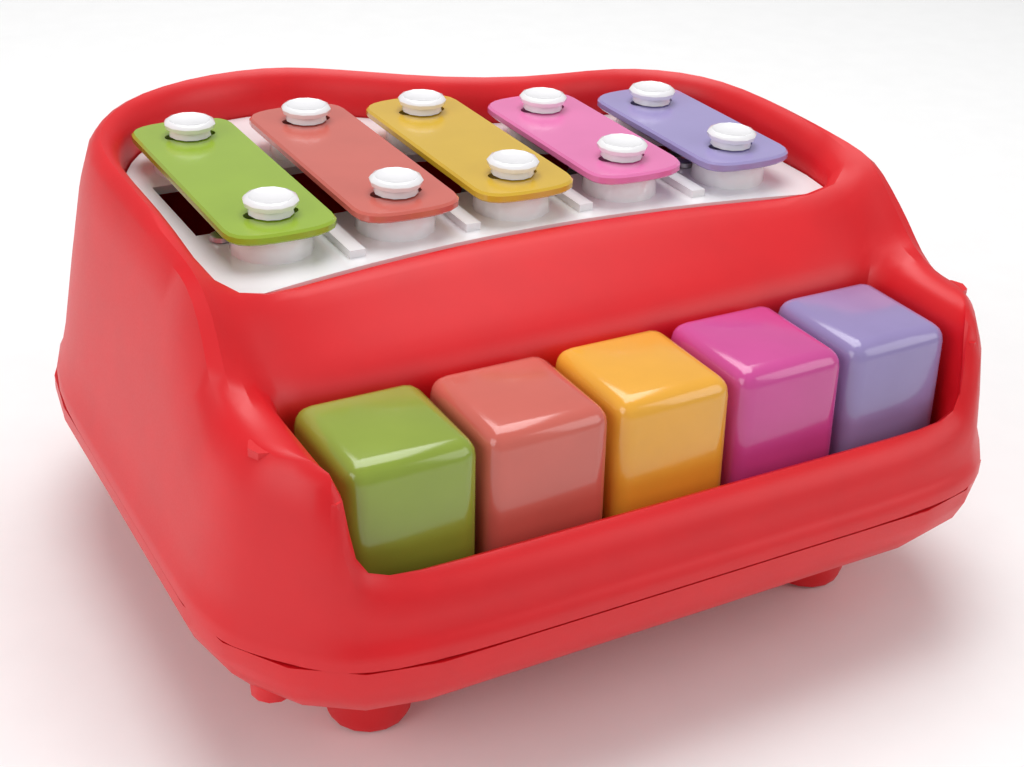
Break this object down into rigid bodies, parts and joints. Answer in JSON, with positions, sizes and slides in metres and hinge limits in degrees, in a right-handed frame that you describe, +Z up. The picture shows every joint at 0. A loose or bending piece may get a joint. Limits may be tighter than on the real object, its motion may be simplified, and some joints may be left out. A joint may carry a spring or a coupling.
{
  "type": "toy xylophone piano",
  "caption": "Toy piano with coloured keys whose levers swing hammers up against painted metal bars on a deck.",
  "frame": {"origin": "centre of the bounding box at the level of the feet", "axes": "+X to the right along the key row, +Y from the keys to the back, +Z up"},
  "size_m": [0.2188, 0.2083, 0.1111],
  "materials": {
    "red_plastic": "satin gloss moulding",
    "white_plastic": "satin gloss moulding",
    "dark_plastic": "matt",
    "steel": "bright",
    "bar_green_paint": "gloss paint",
    "bar_salmon_paint": "gloss paint",
    "bar_yellow_paint": "gloss paint",
    "bar_pink_paint": "gloss paint",
    "bar_lavender_paint": "gloss paint",
    "key_green_plastic": "gloss moulding",
    "key_salmon_plastic": "gloss moulding",
    "key_yellow_plastic": "gloss moulding",
    "key_pink_plastic": "gloss moulding",
    "key_lavender_plastic": "gloss moulding"
  },
  "bodies": {
    "body": {"upper_housing": "red_plastic", "lower_base": "red_plastic", "bar_deck": "white_plastic", "hammer_rail": "white_plastic", "key_axle": "steel", "hammer_axle": "steel", "bar_green": "bar_green_paint", "bar_salmon": "bar_salmon_paint", "bar_yellow": "bar_yellow_paint", "bar_pink": "bar_pink_paint", "bar_lavender": "bar_lavender_paint", "peg_green_front": "white_plastic", "peg_green_back": "white_plastic", "peg_salmon_front": "white_plastic", "peg_salmon_back": "white_plastic", "peg_yellow_front": "white_plastic", "peg_yellow_back": "white_plastic", "peg_pink_front": "white_plastic", "peg_pink_back": "white_plastic", "peg_lavender_front": "white_plastic", "peg_lavender_back": "white_plastic", "return_spring_green": "steel", "return_spring_salmon": "steel", "return_spring_yellow": "steel", "return_spring_pink": "steel", "return_spring_lavender": "steel", "rail_screw_1": "steel", "rail_screw_2": "steel", "base_screw_1": "steel", "base_screw_2": "steel", "base_screw_3": "steel", "base_screw_4": "steel"},
    "green_key": {"key_green": "key_green_plastic"},
    "salmon_key": {"key_salmon": "key_salmon_plastic"},
    "yellow_key": {"key_yellow": "key_yellow_plastic"},
    "pink_key": {"key_pink": "key_pink_plastic"},
    "lavender_key": {"key_lavender": "key_lavender_plastic"},
    "green_hammer": {"hammer_green": "white_plastic", "hammer_head_green": "dark_plastic"},
    "salmon_hammer": {"hammer_salmon": "white_plastic", "hammer_head_salmon": "dark_plastic"},
    "yellow_hammer": {"hammer_yellow": "white_plastic", "hammer_head_yellow": "dark_plastic"},
    "pink_hammer": {"hammer_pink": "white_plastic", "hammer_head_pink": "dark_plastic"},
    "lavender_hammer": {"hammer_lavender": "white_plastic", "hammer_head_lavender": "dark_plastic"}
  },
  "joints": [
    {"name": "green_press", "type": "hinge", "parent": "body", "child": "green_key", "pos_m": [-0.066, -0.0353, 0.059], "axis": [1, 0, 0], "range_deg": [0, 5], "stiffness_Nm_per_rad": 0.25, "springref_deg": -6.88, "deforming": ["return_spring_green"]},
    {"name": "salmon_press", "type": "hinge", "parent": "body", "child": "salmon_key", "pos_m": [-0.033, -0.0353, 0.059], "axis": [1, 0, 0], "range_deg": [0, 5], "stiffness_Nm_per_rad": 0.25, "springref_deg": -6.88, "deforming": ["return_spring_salmon"]},
    {"name": "yellow_press", "type": "hinge", "parent": "body", "child": "yellow_key", "pos_m": [0, -0.0353, 0.059], "axis": [1, 0, 0], "range_deg": [0, 5], "stiffness_Nm_per_rad": 0.25, "springref_deg": -6.88, "deforming": ["return_spring_yellow"]},
    {"name": "pink_press", "type": "hinge", "parent": "body", "child": "pink_key", "pos_m": [0.033, -0.0353, 0.059], "axis": [1, 0, 0], "range_deg": [0, 5], "stiffness_Nm_per_rad": 0.25, "springref_deg": -6.88, "deforming": ["return_spring_pink"]},
    {"name": "lavender_press", "type": "hinge", "parent": "body", "child": "lavender_key", "pos_m": [0.066, -0.0353, 0.059], "axis": [1, 0, 0], "range_deg": [0, 5], "stiffness_Nm_per_rad": 0.25, "springref_deg": -6.88, "deforming": ["return_spring_lavender"]},
    {"name": "green_strike", "type": "hinge", "parent": "body", "child": "green_hammer", "pos_m": [-0.066, -0.0213, 0.075], "axis": [1, 0, 0], "range_deg": [0, 12.1]},
    {"name": "salmon_strike", "type": "hinge", "parent": "body", "child": "salmon_hammer", "pos_m": [-0.033, -0.0213, 0.075], "axis": [1, 0, 0], "range_deg": [0, 12.1]},
    {"name": "yellow_strike", "type": "hinge", "parent": "body", "child": "yellow_hammer", "pos_m": [0, -0.0213, 0.075], "axis": [1, 0, 0], "range_deg": [0, 12.1]},
    {"name": "pink_strike", "type": "hinge", "parent": "body", "child": "pink_hammer", "pos_m": [0.033, -0.0213, 0.075], "axis": [1, 0, 0], "range_deg": [0, 12.1]},
    {"name": "lavender_strike", "type": "hinge", "parent": "body", "child": "lavender_hammer", "pos_m": [0.066, -0.0213, 0.075], "axis": [1, 0, 0], "range_deg": [0, 12.1]}
  ],
  "couplings": [
    {"joint": "green_strike", "follows": "green_press", "ratio": 2.4},
    {"joint": "salmon_strike", "follows": "salmon_press", "ratio": 2.4},
    {"joint": "yellow_strike", "follows": "yellow_press", "ratio": 2.4},
    {"joint": "pink_strike", "follows": "pink_press", "ratio": 2.4},
    {"joint": "lavender_strike", "follows": "lavender_press", "ratio": 2.4}
  ]
}
